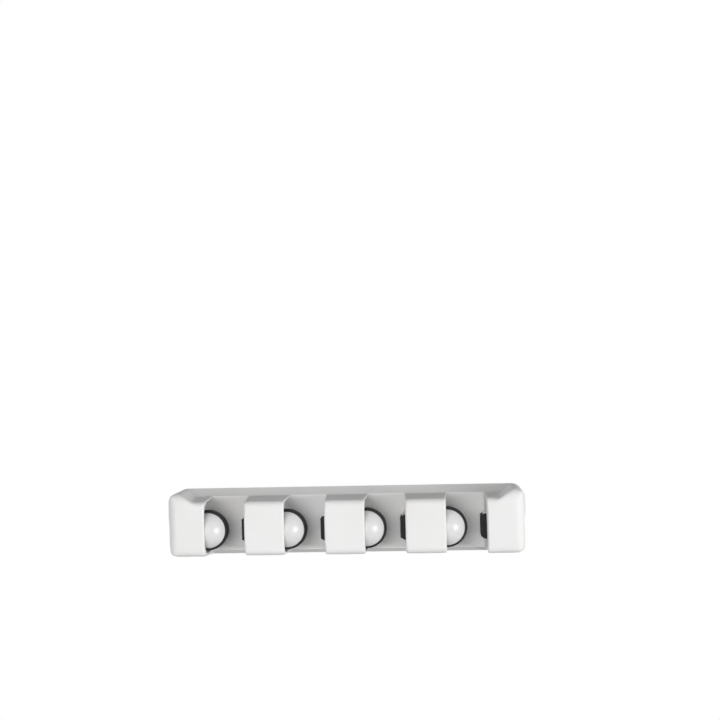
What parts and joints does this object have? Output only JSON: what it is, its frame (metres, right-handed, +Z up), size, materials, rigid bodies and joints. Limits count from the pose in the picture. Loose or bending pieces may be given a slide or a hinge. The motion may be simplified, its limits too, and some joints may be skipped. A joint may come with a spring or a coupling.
{
  "type": "wall mop holder rack",
  "caption": "Wall-mounted rack whose slots each grip a broom or mop handle between a rubber pad and a rubber-tyred roller that slides on an inclined guide.",
  "frame": {"origin": "centre of the rear face, on the wall", "axes": "+X along the rack to the right as seen from the front, +Y into the wall, +Z up"},
  "size_m": [0.3508, 0.05, 0.067],
  "materials": {
    "white_plastic": "satin moulded",
    "dome_plastic": "smooth moulded",
    "natural_plastic": "natural moulded",
    "black_rubber": "matte",
    "screw_steel": "plated"
  },
  "bodies": {
    "rack": {"rail": "white_plastic", "cover_left_end": "white_plastic", "cover_1": "white_plastic", "cover_2": "white_plastic", "cover_3": "white_plastic", "cover_right_end": "white_plastic", "cover_screws": "screw_steel", "grip_pad_1": "black_rubber", "grip_pad_2": "black_rubber", "grip_pad_3": "black_rubber", "grip_pad_4": "black_rubber"},
    "carriage_1": {"slide_shoe_1": "natural_plastic", "slide_keeper_1": "natural_plastic", "roller_axle_1": "screw_steel", "axle_clip_1": "screw_steel"},
    "roller_1": {"roller_hub_1": "natural_plastic", "roller_tyre_1": "black_rubber", "roller_dome_1": "dome_plastic"},
    "carriage_2": {"slide_shoe_2": "natural_plastic", "slide_keeper_2": "natural_plastic", "roller_axle_2": "screw_steel", "axle_clip_2": "screw_steel"},
    "roller_2": {"roller_hub_2": "natural_plastic", "roller_tyre_2": "black_rubber", "roller_dome_2": "dome_plastic"},
    "carriage_3": {"slide_shoe_3": "natural_plastic", "slide_keeper_3": "natural_plastic", "roller_axle_3": "screw_steel", "axle_clip_3": "screw_steel"},
    "roller_3": {"roller_hub_3": "natural_plastic", "roller_tyre_3": "black_rubber", "roller_dome_3": "dome_plastic"},
    "carriage_4": {"slide_shoe_4": "natural_plastic", "slide_keeper_4": "natural_plastic", "roller_axle_4": "screw_steel", "axle_clip_4": "screw_steel"},
    "roller_4": {"roller_hub_4": "natural_plastic", "roller_tyre_4": "black_rubber", "roller_dome_4": "dome_plastic"}
  },
  "joints": [
    {"name": "roller_1_slide", "type": "slide", "parent": "rack", "child": "carriage_1", "axis": [-0.8988, 0, 0.4384], "range_m": [0, 0.014]},
    {"name": "roller_1_spin", "type": "hinge", "parent": "carriage_1", "child": "roller_1", "pos_m": [-0.13753, -0.03, -0.00477], "axis": [0, -1, 0], "continuous": true},
    {"name": "roller_2_slide", "type": "slide", "parent": "rack", "child": "carriage_2", "axis": [-0.8988, 0, 0.4384], "range_m": [0, 0.014]},
    {"name": "roller_2_spin", "type": "hinge", "parent": "carriage_2", "child": "roller_2", "pos_m": [-0.05864, -0.03, -0.00477], "axis": [0, -1, 0], "continuous": true},
    {"name": "roller_3_slide", "type": "slide", "parent": "rack", "child": "carriage_3", "axis": [-0.8988, 0, 0.4384], "range_m": [0, 0.014]},
    {"name": "roller_3_spin", "type": "hinge", "parent": "carriage_3", "child": "roller_3", "pos_m": [0.02024, -0.03, -0.00477], "axis": [0, -1, 0], "continuous": true},
    {"name": "roller_4_slide", "type": "slide", "parent": "rack", "child": "carriage_4", "axis": [-0.8988, 0, 0.4384], "range_m": [0, 0.014]},
    {"name": "roller_4_spin", "type": "hinge", "parent": "carriage_4", "child": "roller_4", "pos_m": [0.09913, -0.03, -0.00477], "axis": [0, -1, 0], "continuous": true}
  ]
}
